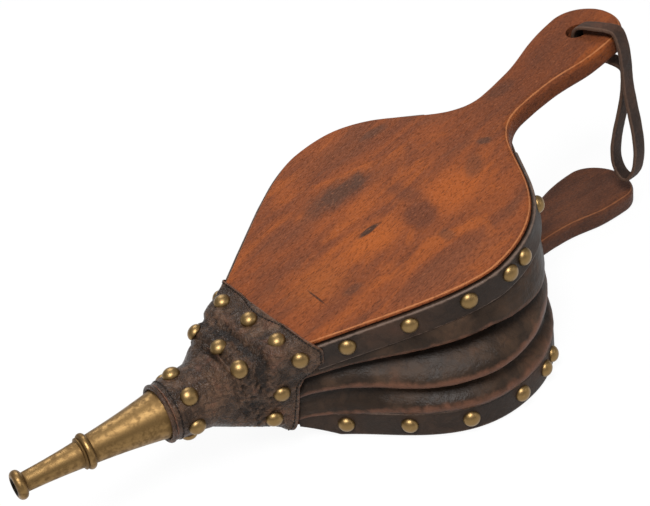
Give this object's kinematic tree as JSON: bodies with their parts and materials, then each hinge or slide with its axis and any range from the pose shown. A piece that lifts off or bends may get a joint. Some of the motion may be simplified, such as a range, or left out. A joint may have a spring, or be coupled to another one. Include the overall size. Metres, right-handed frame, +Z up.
{
  "type": "fireplace bellows",
  "caption": "Hand bellows for a fireplace: two pear-shaped wooden boards hinged at the head, a pleated leather gusset with nailed edge strips, a flap valve, a brass nozzle and a hanging thong.",
  "frame": {"origin": "on the flat underside of the lower board, on the centre line, near its widest point", "axes": "+X towards the handles, nozzle towards -X, +Z up from the lower board to the upper board, Y across"},
  "size_m": [0.4269, 0.1934, 0.1344],
  "materials": {
    "board_wood": "worn stain",
    "inner_wood": "bare",
    "cane": "bare",
    "dark_leather": "worn",
    "brown_leather": "matt",
    "thong_leather": "worn",
    "nozzle_brass": "antique",
    "nail_brass": "antique",
    "steel": "dull"
  },
  "bodies": {
    "base": {"bottom_board": "board_wood", "head_block": "inner_wood", "block_screws": "steel", "nozzle": "nozzle_brass", "nozzle_pins": "steel", "hinge_leather": "brown_leather", "head_wrap": "dark_leather", "wrap_welt": "dark_leather", "wrap_block_nails": "nail_brass", "gusset": "dark_leather", "lower_strip": "dark_leather", "lower_strip_nails": "nail_brass", "valve_cleat": "inner_wood", "valve_tacks": "steel", "valve_keeper": "brown_leather", "keeper_tacks": "steel"},
    "lid": {"top_board": "board_wood", "upper_strip": "dark_leather", "upper_strip_nails": "nail_brass", "wrap_board_nails": "nail_brass", "thong": "thong_leather"},
    "hoop": {"gusset_hoop": "cane"},
    "flap": {"valve_flap": "brown_leather", "valve_stiffener": "inner_wood"}
  },
  "joints": [
    {"name": "board_hinge", "type": "hinge", "parent": "base", "child": "lid", "pos_m": [-0.1256, 0, 0.0654], "axis": [0, -1, 0], "range_deg": [-8, 4], "deforming": ["gusset", "head_wrap", "hinge_leather", "thong"]},
    {"name": "hoop_follow", "type": "hinge", "parent": "base", "child": "hoop", "pos_m": [-0.1256, 0, 0.0654], "axis": [0, -1, 0], "range_deg": [-4, 2]},
    {"name": "flap_hinge", "type": "hinge", "parent": "base", "child": "flap", "pos_m": [-0.007, 0, 0.0151], "axis": [0, -1, 0], "range_deg": [0, 25]}
  ],
  "couplings": [
    {"joint": "hoop_follow", "follows": "board_hinge", "ratio": 0.5}
  ]
}
